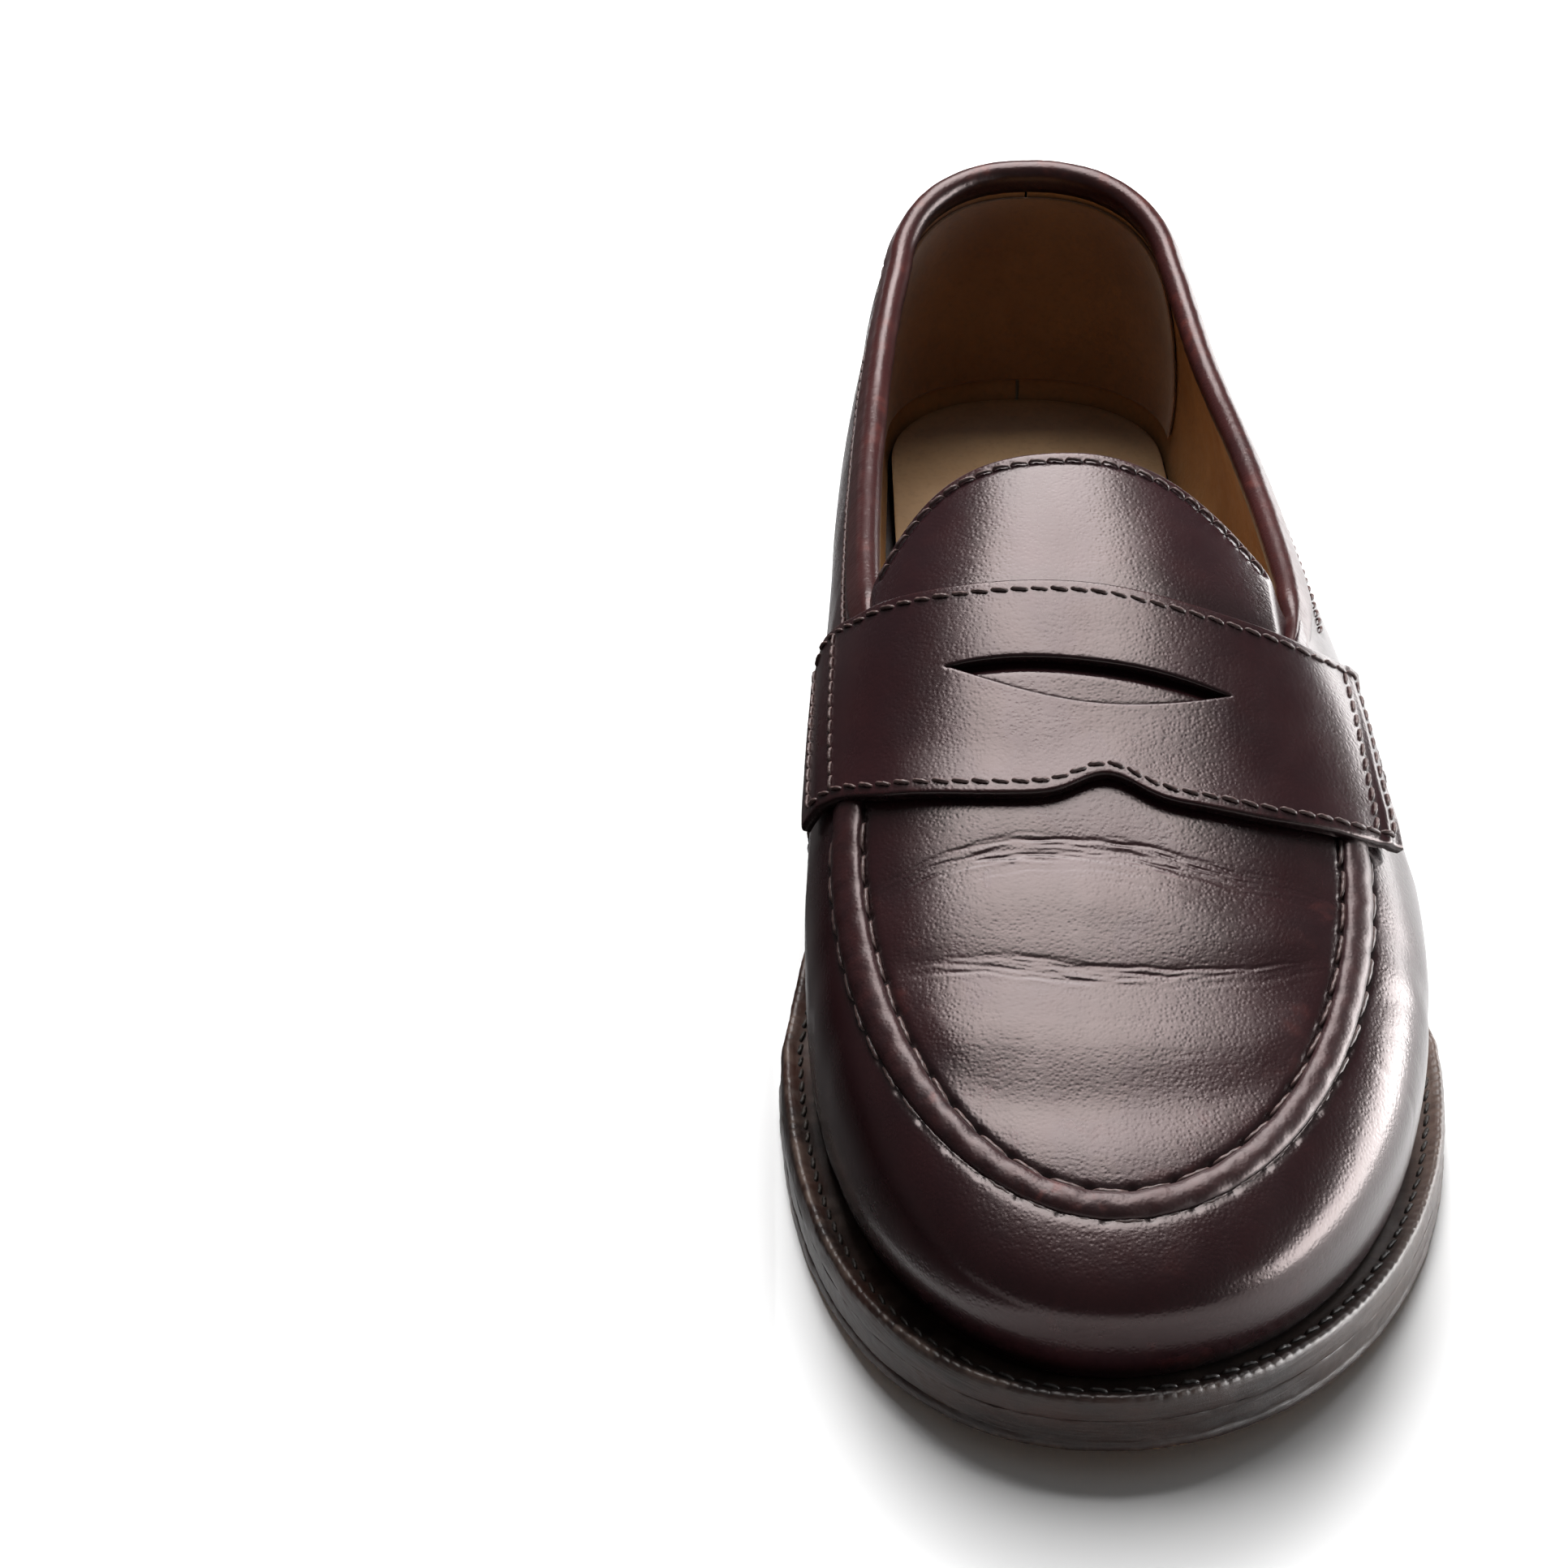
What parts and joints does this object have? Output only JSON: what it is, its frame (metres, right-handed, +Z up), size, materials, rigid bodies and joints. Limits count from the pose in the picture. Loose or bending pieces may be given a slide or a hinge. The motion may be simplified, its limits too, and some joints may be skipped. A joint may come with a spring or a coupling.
{
  "type": "penny loafer",
  "caption": "Left penny loafer: burgundy leather slip-on shoe with a raised apron seam, slit strap, leather sole and stacked heel.",
  "frame": {"origin": "centre of the heel's tread on the floor", "axes": "+Z up, toe towards -Y, +X to the outer side of the left foot"},
  "size_m": [0.113, 0.2996, 0.0946],
  "materials": {
    "upper_leather": "gloss",
    "binding_leather": "gloss",
    "lining_leather": "matte",
    "suede": "matte",
    "stiffener": "matte",
    "thread": "matte",
    "welt_thread": "matte",
    "sole_leather": "satin",
    "welt_leather": "satin",
    "canvas": "matte",
    "cork": "matte",
    "insole_leather": "matte",
    "steel": "satin",
    "rubber": "matte",
    "heel_leather": "satin",
    "brass": "satin"
  },
  "bodies": {
    "root": {"vamp": "upper_leather", "apron": "upper_leather", "apron_seam": "upper_leather", "quarter_medial": "upper_leather", "quarter_lateral": "upper_leather", "backstay": "upper_leather", "penny_strap": "upper_leather", "tongue": "upper_leather", "topline_binding": "binding_leather", "vamp_lining": "lining_leather", "apron_lining": "lining_leather", "quarter_lining_medial": "lining_leather", "quarter_lining_lateral": "lining_leather", "tongue_lining": "lining_leather", "sock_liner": "lining_leather", "heel_grip": "suede", "toe_puff": "stiffener", "heel_counter": "stiffener", "apron_stitch_outer": "thread", "apron_stitch_inner": "thread", "strap_stitch_back": "thread", "strap_stitch_front": "thread", "strap_stitch_ends": "thread", "tongue_stitch": "thread", "topline_stitch": "thread", "welt_stitch": "welt_thread", "outsole": "sole_leather", "welt": "welt_leather", "insole_rib": "canvas", "cork_filler": "cork", "insole": "insole_leather", "shank": "steel", "top_piece": "sole_leather", "top_piece_rubber": "rubber", "heel_lift_1": "heel_leather", "heel_lift_2": "heel_leather", "heel_lift_3": "heel_leather", "heel_rand": "heel_leather", "heel_nails": "brass"}
  },
  "joints": []
}
